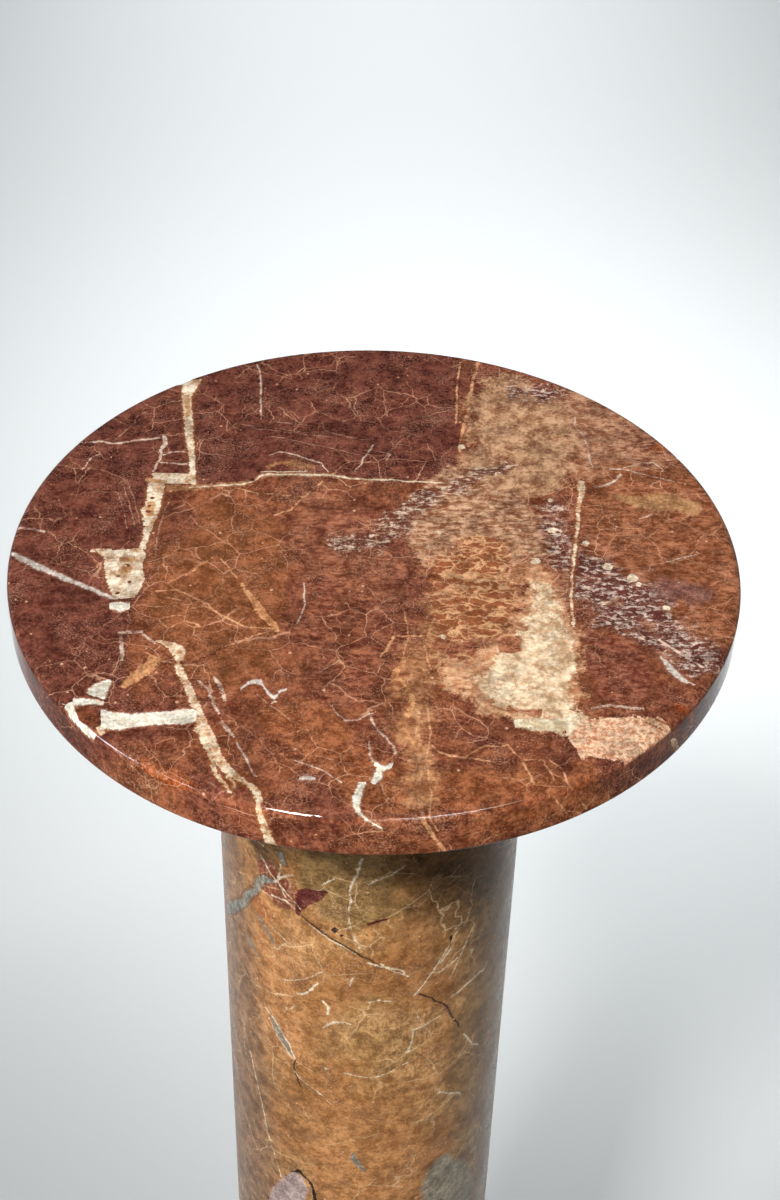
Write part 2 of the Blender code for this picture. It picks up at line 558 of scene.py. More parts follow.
# The top slab's fields of colour, from the back to the front
TOP_FIELDS = [
    field((86, 42, 33), (124, 72, 57), [
        [(-126, 60, 31), (-126, 0, 31), (-125, -40, 30), (-122, -70, 27), (-112, -92, 20), (-102, -108, 14)],
    ], ragged=10),
    field((112, 58, 40), (140, 84, 62), [
        [(-122, 86, 2), (-106, 98, 10), (-96, 112, 8)],
    ], soft=5, ragged=16),
    field((84, 41, 33), (122, 71, 57), [
        [(-150, 106, 54), (-97, 106, 55), (-94, 106, 56), (-78, 98, 55), (-53, 99, 54), (-47, 104, 52.5),
         (-20, 104, 52.5), (0, 103, 53.5), (30, 101, 53), (36, 101, 52)],
    ], soft=2, ragged=6, blunt=2),
    field((118, 66, 38), (152, 94, 62), [
        [(-66, 18, 26), (-64, 0, 28), (-62, -45, 27), (-56, -75, 16)],
    ], soft=8, ragged=24),
    field((88, 44, 34), (124, 72, 56), [
        [(-86, 36, 6), (-82, 20, 8), (-86, 4, 4)],
    ], soft=10, ragged=20, cover=0.7),
    field((108, 56, 40), (170, 112, 84), [
        [(-30, 46, 3), (-24, 30, 12), (-14, 8, 19), (-10, -14, 22), (-6, -38, 12)],
        [(-40, 6, 2), (-30, 2, 9), (-20, 0, 12)],
    ], grain="streaky", soft=10, ragged=44, cover=0.75),
    field((94, 44, 32), (158, 98, 72), [
        [(-22, -20, 10), (-12, -46, 18), (-10, -88, 14)],
        [(-36, -40, 4), (-26, -52, 9), (-20, -66, 9)],
    ], grain="streaky", soft=10, ragged=44, cover=0.8),
    field((150, 96, 60), (186, 132, 90), [
        [(-48, 56, 1), (-38, 59.5, 3.2), (-27, 57, 1)],
    ], soft=3, ragged=12, cover=0.8),
    field((122, 64, 36), (170, 106, 68), [
        [(-40, -96, 6), (-20, -106, 14), (0, -130, 14), (40, -134, 12), (80, -124, 8)],
    ], grain="fine", soft=8, ragged=26, cover=0.8),
    field((120, 66, 40), (172, 110, 78), [
        [(116, 66, 18), (120, 20, 36), (130, -20, 30), (144, -50, 14)],
    ], grain="streaky", soft=6, ragged=26),
    field((112, 60, 42), (182, 130, 100), [
        [(92, 124, 8), (112, 92, 16), (126, 66, 12)],
    ], grain="streaky", soft=5, ragged=22),
    # The light band, from the back to the front
    field((150, 94, 66), (206, 160, 128), [
        [(88, 118, 10), (92, 96, 17), (94, 72, 15), (90, 54, 8)],
    ], grain="streaky", soft=16, ragged=60, cover=0.8),
    field((142, 92, 64), (200, 158, 122), [
        [(60, 126, 10), (64, 108, 20), (65, 84, 23), (63, 62, 25), (54, 46, 23)],
    ], grain="blotchy", soft=9, ragged=44),
    field((134, 82, 56), (210, 168, 134), [
        [(34, 56, 10), (38, 34, 22), (44, 14, 30), (46, -4, 27)],
    ], grain="streaky", soft=8, ragged=40),
    field((146, 84, 52), (214, 164, 120), [
        [(42, 8, 14), (40, -18, 20), (38, -40, 19), (34, -62, 15), (36, -80, 9)],
    ], grain="celled", soft=10, ragged=44),
    field((108, 56, 40), (152, 92, 66), [
        [(20, -54, 1), (30, -57, 5), (42, -55, 4), (50, -52, 1)],
    ], grain="streaky", soft=4, ragged=20, cover=0.85),
    field((152, 94, 60), (204, 152, 108), [
        [(22, -34, 2), (19, -56, 5), (16, -80, 6), (15, -106, 6), (17, -122, 7), (18, -142, 7)],
    ], grain="streaky", soft=8, ragged=36, cover=0.8),
    field((146, 88, 56), (196, 142, 102), [
        [(60, -8, 8), (72, -18, 9), (78, -30, 6)],
    ], grain="streaky", soft=8, ragged=36, cover=0.8),
    field((160, 112, 70), (196, 150, 106), [
        [(100, 41, 1), (112, 39, 4), (124, 38, 6), (138, 33, 3)],
    ], soft=3, ragged=16, cover=0.85),
    # Mottled bands of dark purple with pale flecks
    field((112, 60, 46), (186, 140, 118), [
        [(74, 42, 3), (77, 14, 8), (84, -4, 14), (94, -20, 17), (107, -36, 16), (119, -52, 12),
         (130, -68, 5)],
    ], grain="streaky", soft=14, ragged=60, cover=0.7),
    field((100, 52, 44), (222, 198, 182), [
        [(74, 38, 1), (77, 14, 4), (84, -4, 8), (96, -17, 8), (108, -30, 6), (119, -46, 7),
         (131, -66, 6)],
        [(84, -8, 2), (88, -24, 7), (98, -38, 8), (110, -54, 2)],
        [(60, 117, 1), (72, 117, 5), (86, 118, 1)],
    ], grain="flecked", soft=8, ragged=52),
    field((112, 72, 66), (156, 112, 104), [
        [(114, -18, 2), (124, -20, 6), (136, -24, 3)],
    ], grain="fine", soft=8, ragged=30, cover=0.7),
    field((110, 60, 46), (228, 200, 176), [
        [(-18, 5, 4), (-4, 6, 8), (8, 20, 6), (22, 38, 4), (40, 52, 3), (62, 62, 2)],
    ], grain="flecked", soft=5, ragged=36),
    field((104, 50, 36), (158, 98, 74), [
        [(84, -46, 3), (94, -62, 13), (98, -82, 11)],
    ], grain="streaky", ragged=22),
    field((78, 36, 32), (120, 66, 52), [
        [(34, -106, 1), (42, -109, 2.4), (54, -110, 1)],
        [(62, -112, 1), (68, -118, 4), (72, -126, 2)],
    ], grain="fine", soft=5, ragged=18, cover=0.7),
    # The cream field
    field((184, 124, 88), (224, 180, 140), [
        [(66, -6, 2), (67, -26, 7), (68, -40, 12), (64, -56, 18), (57, -72, 24), (57, -84, 24),
         (64, -96, 15)],
        [(30, -66, 5), (42, -76, 11), (52, -86, 12)],
    ], grain="streaky", soft=4, ragged=34, cover=0.9),
    field((210, 166, 124), (244, 222, 190), [
        [(66, -16, 2), (69, -34, 5), (68, -48, 9), (64, -62, 15), (58, -76, 19), (62, -90, 15)],
        [(70, -88, 5), (76, -98, 6), (80, -104, 4)],
    ], grain="blotchy", soft=2, ragged=26),
    field((190, 122, 86), (242, 206, 172), [
        [(75, -112, 4), (82, -109, 10), (91, -105, 12), (100, -102, 9), (110, -98, 3)],
    ], grain="crumbly", soft=1.2, ragged=18, shallow=True),
    field((138, 78, 54), (176, 118, 84), [
        line(3.4, (54, -50), (54.5, -59)),
        line(2.4, (52, -91), (64, -93)),
        line(3, (80, -91), (87, -90)),
    ], soft=1.5, ragged=10),
    field((222, 192, 148), (248, 236, 208), [
        line(2.8, (54, -98), (62, -99), (75, -99.5)),
    ], soft=1.5, ragged=8),
    field((146, 66, 30), (180, 100, 54), [
        [(-84, -122, 1), (-74, -129, 4), (-62, -134, 1)],
        [(114, -86, 1), (118, -89, 2), (123, -92, 1)],
        [(122, 76, 1), (126, 76, 2), (130, 74, 1)],
    ], soft=3, ragged=12, cover=0.7),
]

# The top slab's veins
TOP_VEINS = [
    # Hair scratches
    layer((150, 104, 84), (196, 158, 134), [
        line(0.22, (-107.3, 40), (-100, 13.3)),
        line(0.22, (-105, 41), (-98, 15)),
        line(0.22, (-109.5, 36), (-103, 12)),
        line(0.25, (-87.7, 30), (-89, 23.3), (-90, 13.3), (-90.3, 3.3), (-89.3, -6.7), (-87.3, -18.7)),
        line(0.22, (-80.7, 29.3), (-88, 23.7)),
        line(0.22, (-50, 80), (-20, 70.7), (-7, 66)),
        line(0.22, (-60, 87), (-34, 83)),
        line(0.22, (-56, 84.5), (-20, 79)),
        line(0.22, (-48, 90), (-22, 86)),
        line(0.25, (-24.7, 90), (-22, 83.3), (-18, 81.3), (-3.3, 77.3)),
        line(0.25, (-55.7, 40), (-55.7, 31.3)),
        line(0.22, (-68, -101.3), (-67, -111.3)),
        line(0.25, (-103.3, 95.3), (-106.7, 92), (-108.7, 84.7), (-114.7, 74)),
        line(0.22, (-30, -100), (-44, -86)),
        line(0.22, (70, -70), (84, -62)),
        line(0.22, (-20, -118), (4, -126)),
    ], soft=0.4, ragged=0.4, cover=0.7, broken=True),
    layer((170, 108, 66), (214, 158, 112), [
        [(-87, -64, 1.3), (-84, -67, 2.8), (-86, -72, 2.3), (-90, -77, 2.8), (-95, -84, 1.3)],
        [(-53.3, -21.3, 0.5), (-52, -25.3, 0.9), (-48.7, -30.7, 1.3), (-46, -36, 1.8), (-42.7, -41.3, 1.6),
         (-39.3, -46.7, 1.4), (-37.7, -50, 0.8)],
        [(-76.3, -17, 0.25), (-70, -9.3, 0.7), (-65, -3.7, 0.3)],
        line(1.2, (12.7, -63.3), (11.3, -68.7), (8.7, -72), (8.3, -74.7)),
        line(1.1, (8.3, -74.7), (11.3, -77.3), (14, -82), (15.3, -87.3), (14.7, -93.3)),
        line(1.3, (14.7, -93.3), (12.7, -98), (12, -103.3), (14, -107.3), (17.3, -111.3), (20, -114.7)),
        [(-90, -71, 1.6), (-87, -73, 2.0), (-84, -74, 0.8)],
    ], soft=0.6, ragged=2.6, handles="VECTOR"),
    layer((170, 110, 74), (216, 164, 122), [
        line(0.45, (-88, -27), (-79.3, -26), (-75.3, -28.7), (-67.3, -33.3), (-63.3, -38.7), (-56.7, -43.3),
             (-50, -48), (-38, -48.5)),
        line(0.35, (-89.3, -29.3), (-83.3, -30.7), (-77.3, -32.7)),
        line(0.35, (-83.3, -43.3), (-79.3, -42), (-74.7, -42)),
        line(0.4, (-75.3, -44.7), (-70.7, -46), (-66.3, -49.3)),
        line(0.35, (-73.3, -37.3), (-67.3, -36), (-62, -39)),
        line(0.4, (-58.7, -60.3), (-50, -55), (-40, -49)),
        line(0.3, (-63.3, -5.3), (-55.3, -18.7)),
        line(0.4, (10, -118), (13.3, -120), (23.3, -119.3)),
        line(0.8, (18, -92), (17, -104), (18.2, -118), (17.4, -132), (18.6, -146), (18, -158)),
        line(0.35, (21, -86), (22, -104), (20.5, -120), (22, -136), (21, -150)),
        line(0.3, (12, -36), (14, -52), (11.5, -64)),
        line(0.35, (24, -40), (20, -56), (22, -70), (18, -84)),
        line(0.5, (22.7, -111.3), (25.3, -115.3), (30, -116.7), (50, -120)),
        line(0.4, (34.7, -116.7), (42, -111.3), (50, -110.7)),
        line(0.5, (8, -51.3), (6.7, -55.3), (5.3, -59.3), (2.7, -63.3)),
        line(0.4, (8.7, -51.3), (19.3, -50.7)),
        line(0.45, (-23, 47), (-28, 40), (-32.7, 33.3), (-36, 27.3), (-42.7, 22.7)),
        line(0.35, (-61.3, 42), (-53.3, 39.3), (-50, 37.3), (-44, 37.7), (-36.7, 36.3), (-30.7, 36.3)),
        line(0.7, (46, 140), (43.3, 126.7), (41.7, 113.3), (40.7, 102), (38.7, 92), (36.7, 81.3), (36, 70)),
        line(0.45, (37.7, 140), (36.7, 130), (35.7, 120), (35.3, 103.3), (34.7, 91.3)),
        line(0.4, (50, -110), (55, -117), (58, -125), (60, -131)),
        line(0.4, (60, -131), (66, -135), (72, -131), (70, -122), (64, -116)),
        line(0.4, (55, -118), (63, -118), (67, -128)),
        line(0.4, (52, 14), (60, 4), (66, -8)),
        line(0.35, (30, -20), (44, -12), (58, -16)),
        line(0.35, (26, -34), (36, -30), (50, -36)),
    ], soft=0.5, ragged=0.8, handles="VECTOR", broken=True),
    layer((176, 136, 116), (222, 198, 178), [
        line(0.6, (-128, 71.3), (-120.7, 72.3), (-115.3, 70.7), (-110, 72.3), (-103.3, 74.3), (-95.3, 76)),
        [(-94, 78, 0.6), (-92.7, 72, 1.1), (-94, 66.7, 0.6), (-94.3, 60, 0.5), (-96, 51, 0.5)],
        line(0.4, (-93.3, 63.3), (-89.3, 66), (-82, 66.3)),
        line(0.45, (-94, 58), (-80, 57.3)),
        line(0.25, (-120.7, 63.3), (-124, 60.7), (-125.3, 54.7), (-127.3, 51.3)),
        line(0.4, (-56.3, 134.7), (-54.7, 129.3), (-53.7, 120), (-53, 107.3), (-52, 91.3)),
        line(0.4, (-46.7, 64.7), (-43.3, 67.3), (-38, 66.7), (-31.3, 63.3), (-24, 60), (-21, 54)),
        line(0.35, (-10, 54.7), (-6.7, 60.7), (-5.7, 64.7), (-3, 70), (-2, 74)),
        line(0.3, (1.3, 68.7), (6, 67.7), (4, 63.3)),
        line(0.4, (100.7, 60.7), (106.7, 60), (112, 58), (120, 55.3), (128.7, 52)),
        line(0.3, (106.7, 60.7), (115.3, 65.3), (120.7, 65.3), (125.3, 58.7)),
        line(0.6, (93, 47), (96.7, 47.3), (100, 49.7), (103.3, 52.7), (106, 56.7)),
        line(0.35, (88.3, 98.7), (87.7, 92), (90, 86.7), (91.7, 83.3), (93.7, 60.7)),
        line(0.3, (120, -2.3), (130, 2), (134, 4)),
        line(0.25, (111, 25.7), (116.7, 28.7)),
        line(0.4, (-15.3, -91.3), (-12.7, -96), (-10, -99), (-5.3, -98.7), (-2, -96), (1.3, -94)),
        line(0.45, (-0.7, -96), (1.3, -102), (4.7, -107.3), (8, -112), (9.3, -116)),
        line(0.4, (-0.7, -110), (0, -116.7), (0.7, -120.7)),
        line(0.5, (-66.7, -78.7), (-62.7, -83.3), (-60, -91.3), (-57.3, -96.7)),
        line(0.7, (83, -90), (90, -88), (103, -90)),
        line(0.3, (-28, -120.7), (-18.7, -124.7), (-10, -131.3)),
        line(0.4, (-50, -112), (-46, -119.3), (-43.3, -126.7), (-41.3, -129.3)),
        line(0.3, (-28.5, -20), (-27.5, -33), (-30, -45)),
        line(0.7, (-149, 11), (-143, 10.5), (-137, 9)),
        [(-60.7, -76.7, 0.5), (-58.5, -81, 1.0), (-57.3, -84.7, 0.8), (-55.3, -90, 0.5)],
        [(-56.7, -100.7, 0.5), (-54, -104.7, 1.0), (-50.7, -109.3, 0.4)],
        line(0.7, (-99, -54), (-97.5, -62), (-97, -69)),
        line(0.8, (-100, -53), (-90, -51.5)),
        line(0.5, (-90, -52.7), (-84.7, -58.7)),
        line(0.6, (112, -50), (120, -58), (128, -66)),
        line(0.5, (112, -60), (116, -70), (124, -76)),
    ], soft=0.5, ragged=1.0, handles="VECTOR", broken=True),
    # The long vein from east to west, white in a tan sleeve
    layer((140, 88, 56), (186, 136, 98), [
        [(-90, 40, 1.9), (-77.3, 41, 1.7), (-66.7, 42.7, 1.7), (-60, 43.7, 1.5), (-53.3, 45, 1.5),
         (-50, 50, 1.3), (-40, 51.5, 1.6), (-27, 51.5, 1.6), (-20, 51.5, 1.3), (-10, 49.5, 0.9)],
        line(0.6, (-10, 49.5), (0, 49), (6.7, 49.3), (13.3, 48.3), (23.3, 48), (32, 47)),
    ], soft=1.2, ragged=3.0, cover=0.85),
    layer((204, 176, 144), (236, 222, 198), [
        [(-80, 41, 0.4), (-66.7, 42.7, 0.5), (-60, 43.7, 0.4), (-53.3, 45.5, 0.4), (-50, 50, 0.5),
         (-40, 51.5, 0.6), (-27, 51.5, 0.7), (-20, 51.5, 0.6), (-10, 49.5, 0.5), (0, 49, 0.55),
         (6.7, 49.3, 0.5), (13.3, 48.3, 0.45), (23.3, 48, 0.4), (30, 47.3, 0.3)],
        line(0.25, (-50, 53), (-30, 54)),
    ], soft=0.5, ragged=0.8, broken=True),
    # Cream, thick
    layer((188, 142, 102), (238, 222, 198), [
        [(-85, 121, 4.4), (-86, 112, 2.8), (-86.2, 104, 1.9), (-84, 88, 2.0), (-81.5, 70, 1.6),
         (-79, 50, 1.2), (-78, 43, 0.9)],
        [(-87, 50.5, 9), (-87, 43.5, 9)],
        [(-94, 44, 3.5), (-94, 30, 3.1), (-94.7, 25, 3.8), (-94.7, 20, 3.0), (-94.6, 14, 1.6),
         (-95.2, 5, 1.2), (-95.5, -1, 1.4)],
        [(-105, -2, 9), (-102, -6, 8.5), (-102.3, -11, 8.1), (-101.5, -16, 7.5), (-100.2, -22, 7.2),
         (-99.7, -27, 6.2), (-99, -32, 3.5)],
        [(-116.5, -2.6, 0.5), (-108, -3, 1.8)],
    ], grain="blotchy", blunt=0.8, ragged=3.2, border=(1.0, (132, 78, 50))),
    layer((184, 130, 86), (238, 218, 190), [
        [(88, 52, 1.0), (88, 47, 1.9), (87, 38, 0.8), (85.3, 30, 0.7), (84.7, 20, 0.6), (83.3, 12.7, 0.6),
         (82.7, 4.7, 0.6), (81, -7.3, 0.5), (79.5, -24, 0.5), (79, -44, 0.4)],
        [(-84.7, -56.7, 0.8), (-79.3, -58.7, 2.2), (-76, -62, 2.6), (-74.5, -66, 1.9), (-74.4, -72, 1.3),
         (-72.7, -76.7, 1.3), (-70, -82.7, 1.5), (-68, -88.7, 1.6), (-66, -94, 1.9), (-64, -100.7, 2.1),
         (-61.3, -107.3, 2.3), (-58.7, -113.3, 2.1), (-56, -120, 1.9), (-53, -125, 1.7), (-46, -132, 1.2),
         (-41, -137, 1.3), (-39.5, -142, 1.0)],
        [(-54, -124, 0.7), (-51, -130, 0.9), (-49, -135, 0.5)],
        [(-40, -141, 1.0), (-42, -147, 1.4), (-46, -151, 1.6), (-50, -153, 1.0)],
        [(-101, -105, 1.0), (-99.5, -109, 1.2)],
        [(103, -95, 1.4), (110, -99, 1.5)],
        [(-66, -104, 0.4), (-60, -116, 0.9), (-56, -128, 0.8), (-50, -138, 0.5)],
    ], grain="blotchy", ragged=3.2, border=(0.8, (142, 80, 48))),
    # White
    layer((212, 196, 170), (246, 240, 226), [
        [(-101, -101.3, 5.0), (-93, -102, 4.4), (-90, -101.7, 3.5), (-83, -100.3, 3.4), (-76, -99.8, 3.3),
         (-70, -98.7, 4.2), (-66, -98, 3.0)],
        [(-100.6, -79.5, 0.8), (-103, -84, 3.2), (-105, -88.7, 4.0)],
        [(-113, -92.5, 2.4), (-107, -91.8, 1.2), (-101, -92.6, 0.9)],
        [(-114.5, -93, 2.0), (-112, -99, 1.7), (-107, -105.8, 1.4), (-103, -109.3, 1.1)],
        [(-105, -37, 1.5), (-100.7, -37.3, 3.0), (-97, -36.5, 1.6)],
        [(1, -121, 1.0), (4, -124, 1.9), (8, -122, 1.2)],
        [(3.3, -125.3, 1.0), (2.7, -128.7, 1.4), (0.7, -131.3, 1.0)],
        [(-3, -131, 1.2), (-4.7, -138, 1.6), (-4.7, -143.3, 1.2), (-3, -147, 0.6), (2, -151, 0.4)],
    ], grain="crumbly", blunt=1.2, soft=0.6, ragged=2.8, border=(0.7, (158, 106, 82))),
    layer((188, 172, 160), (228, 220, 208), [
        [(-150, -4.5, 0.9), (-140, -11.3, 1.5), (-130, -17.5, 1.3), (-120, -23.3, 1.0), (-110, -29, 0.8),
         (-103, -32.5, 0.5)],
        [(-50, -83.3, 0.6), (-46.7, -78.9, 0.9), (-43.3, -78.7, 1.0), (-41.3, -81, 0.8), (-39.5, -85, 1.1),
         (-37, -87.3, 0.8), (-34.7, -84, 0.7), (-32.7, -82.7, 0.5)],
        [(113, -62, 0.8), (116.5, -69, 1.6), (121, -75, 0.8)],
        [(-26, -129.3, 0.6), (-23.3, -129.3, 1.1), (-20, -129.5, 0.5)],
    ], grain="crumbly", soft=0.9, ragged=2.2, cover=0.9, border=(0.6, (146, 98, 80))),
    # Pale blobs in the mottled fields
    layer((206, 172, 140), (242, 226, 200), [
        [(74, 37, 1.3)], [(74, 17, 1.7)], [(87, 9, 1.6)], [(66, -3.5, 1.9)], [(95.5, -6, 2.0)],
        [(105, -13, 2.3)], [(107, -17, 1.3)], [(117, -31, 1.4)], [(37, 74, 1.4)], [(92, -29, 1.2)],
        [(27, -51, 1.3)], [(26.5, 13.5, 1.2)], [(-37.3, -90, 0.7)],
    ], grain="crumbly", soft=0.6, ragged=3.0),
    # Brown inclusions and pits in the pale stone
    layer((164, 108, 66), (206, 160, 116), [
        [(-104, -8, 1.6), (-98, -7, 1.4)], [(-101, -14, 2.4)], [(-94.6, 31, 1.5), (-95, 21, 1.6)],
        [(-99, 46, 1.2), (-92, 44.5, 1.0)], [(-86, 104, 1.0), (-84.6, 92, 1.0)], [(-61, -108, 1.2)],
        [(-57.5, -116, 1.1)], [(-75.5, -63, 1.2)],
    ], grain="blotchy", soft=0.8, ragged=4.0),
    layer((92, 48, 32), (130, 72, 48), [
        [(-109.5, -95, 2.0), (-106.5, -99, 4.2), (-103, -104, 2.4)],
        [(-94.7, 33, 0.9)], [(-95.3, 28, 0.8)], [(-95.6, 24, 1.0)], [(-100.5, -11.5, 1.0)],
        [(-103.5, -18.5, 0.8)], [(-98.7, -22, 0.7)], [(-102.7, -29, 0.9)], [(-101.3, -33, 0.8)],
        [(-73.3, -69, 1.1)], [(-37, 23, 0.9)], [(-6, 37, 0.7)], [(-36, 7, 0.7)],
        line(0.8, (-66.7, -67), (-61.3, -63.3)),
        line(0.3, (-58.7, -60.3), (-70, -69.7)),
    ], soft=0.4, ragged=1.2, blunt=0.5),
]

# The shaft's fields of colour, two of them with painted shadow of the top slab
SHAFT_FIELDS = [
    field((120, 88, 54), (158, 122, 78), [
        [(-12, -90, 26), (-10, -125, 24), (-4, -150, 18)],
    ], grain="blotchy", soft=12, ragged=34),
    field((128, 94, 58), (168, 130, 84), [
        [(4, -206, 8), (6, -230, 20), (10, -258, 12)],
    ], grain="streaky", soft=16, ragged=60, cover=0.6),
    # Darker stone at the top left, with painted shadow of the top slab
    field((86, 58, 36), (124, 88, 56), [
        [(-62, -80, 30), (-56, -112, 18), (-50, -134, 6)],
    ], grain="blotchy", soft=10, ragged=30),
    # Painted shadow of the top slab on the shaft's top right
    field((92, 64, 38), (128, 92, 56), [
        [(40, -60, 34), (46, -120, 34), (50, -160, 24)],
    ], grain="blotchy", soft=12, ragged=34, cover=0.85),
    field((120, 90, 58), (150, 118, 78), [
        [(72, -160, 20), (70, -260, 26), (76, -420, 26)],
    ], grain="blotchy", soft=16, ragged=34, cover=0.7),
    field((150, 98, 58), (186, 132, 86), [
        [(-46, -160, 8), (-50, -210, 20), (-44, -260, 18)],
        [(0, -290, 18), (2, -330, 26), (0, -400, 30)],
    ], grain="blotchy", soft=14, ragged=34),
    field((116, 80, 54), (154, 114, 82), [
        [(-84, -140, 18), (-80, -260, 26), (-72, -430, 28)],
    ], grain="blotchy", soft=18, ragged=40),
    field((118, 62, 44), (166, 112, 84), [
        [(-50, -132, 5), (-42, -144, 10), (-34, -154, 6)],
    ], grain="flecked", soft=3, ragged=16),
    field((146, 86, 48), (176, 114, 66), [
        [(-58, -155, 4), (-54, -165, 6), (-50, -174, 4)],
    ], soft=3, ragged=12),
]

# The shaft's veins
LEFT_CRACK = [(-30, -155.3), (-22.3, -161), (-13.6, -166.9), (-6.8, -171.7), (0, -176.6), (5.8, -182.4)]
RIGHT_CRACK = [(24.2, -205.6), (30, -211.4), (32.9, -215.3), (38.7, -222), (41.6, -228.8), (44.5, -236.5)]
SHAFT_VEINS = [
    layer((66, 44, 30), (96, 70, 50), [
        [(-41, -119, 1.8), (-37.5, -128, 1.8)],
        [(-43, -140, 1.6), (-52, -147, 3.6), (-56.2, -156.3, 3.2), (-62, -165.9, 3.6), (-67.8, -176.6, 3.4),
         (-76.5, -188.2, 3.8), (-84.2, -197.8, 3.6), (-92, -208, 3.4)],
        line(1.2, (-52, -129), (-44, -132)),
        line(0.9, *LEFT_CRACK),
        line(0.8, *RIGHT_CRACK, (47.9, -245.2)),
    ], ragged=3.5, cover=0.6, broken=True),
    layer((112, 108, 98), (156, 154, 146), [
        [(-41, -121, 1.0), (-38, -127, 1.2)],
        [(-44.5, -141.7, 1.2), (-52.3, -146.6, 2.2), (-56.2, -156.3, 1.8), (-62, -165.9, 2.3),
         (-67.8, -176.6, 2.0), (-76.5, -188.2, 2.5), (-84.2, -197.8, 2.2), (-90, -205.6, 2.2)],
        [(-50, -234, 0.5), (-44, -246, 2.6), (-36, -260, 1)],
        [(-64, -195, 0.5), (-60, -199, 1.4), (-56, -203, 0.5)],
        [(-5, -326, 0.5), (-3, -334, 1.8), (2, -341, 0.6)],
        [(-55, -172, 0.5), (-48, -180, 1.2), (-43, -187, 0.4)],
    ], grain="flecked", ragged=7.0, edge="torn", cover=0.85),
    layer((78, 34, 32), (104, 52, 44), [
        [(-18, -135.5, 0.8), (-24, -139, 4.2), (-28, -143, 4.6), (-31, -150, 2.2), (-32, -156, 1.2)],
        [(0, -153.4, 0.9), (4.8, -151.4, 1.0), (8.7, -150.5, 0.6)],
    ], ragged=3.0),
    layer((32, 22, 18), (58, 40, 30), [
        line(0.3, *LEFT_CRACK),
        line(0.35, *RIGHT_CRACK, (46.4, -240.4), (47.9, -245.2)),
        line(1.4, (-15.5, -158.5), (-13.5, -160)),
        line(1.0, (-11.5, -161.5), (-11, -162.5)),
        line(0.4, (-33.9, -260.6), (-34.9, -269.3), (-32.9, -277), (-31.5, -281.9)),
        line(0.6, (39.7, -172.7), (39.2, -179.5)),
        [(-37.8, -358, 0.8), (-33, -354, 1.6), (-30, -356.4, 1.0), (-27.1, -358.3, 0.9)],
        line(0.9, (-27.1, -358.3), (-25.2, -366), (-24.4, -371), (-25, -380)),
    ], ragged=1.2),
    layer((186, 158, 128), (222, 204, 178), [
        line(0.5, (-2.5, -110.8), (-4.9, -119.5), (-7.8, -131.1), (-7.3, -138.8), (-8.3, -148.5),
             (-6.8, -159.2), (-4.9, -165), (-2, -172.7)),
        line(0.5, (0, -127.2), (5.8, -123.4), (12.6, -119.5), (15.5, -115.6)),
        line(0.4, (-20.4, -131.1), (-14.6, -125.3)),
        line(0.6, (-22.3, -198.8), (-25.2, -204.6), (-28.6, -209.4), (-33, -212)),
        line(0.7, (-19.9, -210.4), (-17, -214.3), (-17.5, -220)),
        line(0.6, (-19.9, -229.8), (-15.5, -224.9), (-9.7, -222.5), (-6.3, -224)),
        line(0.4, (-5.9, -190.1), (-7.8, -196.9)),
        line(0.6, (0, -179.5), (5.8, -181.9), (12.6, -184.3), (16, -186.7), (17.4, -190.1)),
        line(0.5, (51.3, -252.9), (54.6, -259.7), (59, -268.4), (63.8, -273.2)),
        line(0.8, (41.6, -217.7), (52.2, -215.3), (58, -214.3), (62.9, -215.3), (66.2, -212.4)),
        line(0.6, (22.2, -231.7), (29, -230.7), (35.8, -227.8)),
        line(0.5, (23.2, -230.7), (21.8, -240.4), (20.3, -246.2)),
        line(1.3, (19.8, -246), (20.8, -247.5)),
        line(0.5, (45, -167.9), (41.6, -169.8), (39.7, -171.7)),
        line(0.6, (41.6, -181.4), (36.8, -185.3), (34.8, -189.1)),
        line(0.6, (33.8, -195.9), (39.7, -193), (44.5, -190.6)),
        line(1.5, (52, -193), (53.5, -193)),
        line(0.6, (37.7, -288.2), (42.6, -292.6), (48.4, -297.4), (52.2, -302.2)),
        line(0.4, (1, -207.5), (5.8, -206), (11.6, -207.5)),
        line(0.9, (70, -260.2), (71.2, -260.2)),
        line(0.8, (-19, -260), (-17.8, -261)),
        line(0.6, (-44, -142), (-40, -136), (-34, -131)),
        line(0.7, (-46, -152), (-38, -150), (-33, -153)),
        line(0.4, (-29, -157.5), (-21, -163.5), (-12, -169), (-5, -174)),
        line(0.4, (-52, -130), (-46, -138), (-36, -146), (-30, -152)),
        line(0.4, (-40, -128), (-42, -140), (-38, -148)),
        line(0.4, (-52, -236), (-46, -240), (-38, -252), (-34, -262)),
        line(0.4, (-50, -242), (-44, -252), (-36, -262)),
        line(0.25, (-36, -270), (-31, -276), (-22, -281), (-16, -288)),
        line(0.35, (-66, -280), (-58, -310), (-52, -340), (-44, -368)),
        line(0.35, (6, -180), (14, -188), (20, -192)),
        line(0.4, (44, -170), (36, -184), (28, -198), (22, -206)),
        line(0.35, (52, -176), (46, -190), (40, -204)),
        line(0.25, (-10, -261), (2, -264), (10, -262), (17, -257), (26, -253)),
        line(0.35, (-20, -190), (-30, -200), (-42, -208)),
    ], ragged=1.6, handles="VECTOR", broken=True),
    layer((150, 124, 120), (190, 166, 160), [
        [(-33.5, -357, 2.5), (-34.5, -366, 7.0), (-40, -380, 8.0), (-47, -396, 6.0), (-55, -420, 3.0)],
    ], grain="blotchy", soft=1.5, ragged=5.0),
    layer((122, 110, 94), (164, 152, 134), [
        [(41, -346, 4.0), (42, -360, 11.0), (47, -374, 15.0), (54, -396, 15.0), (60, -424, 8.0)],
    ], grain="blotchy", soft=5, ragged=9.0),
]

# Veins that the photograph doesn't show, in millimetres
FOOT_FIELDS = 6  # how many of the top slab's fields the foot slab has too
FOOT_VEIN_START = 84
WANDER_STEP = 14
PALE_SHARE = 0.65  # of the veins on the shaft's back
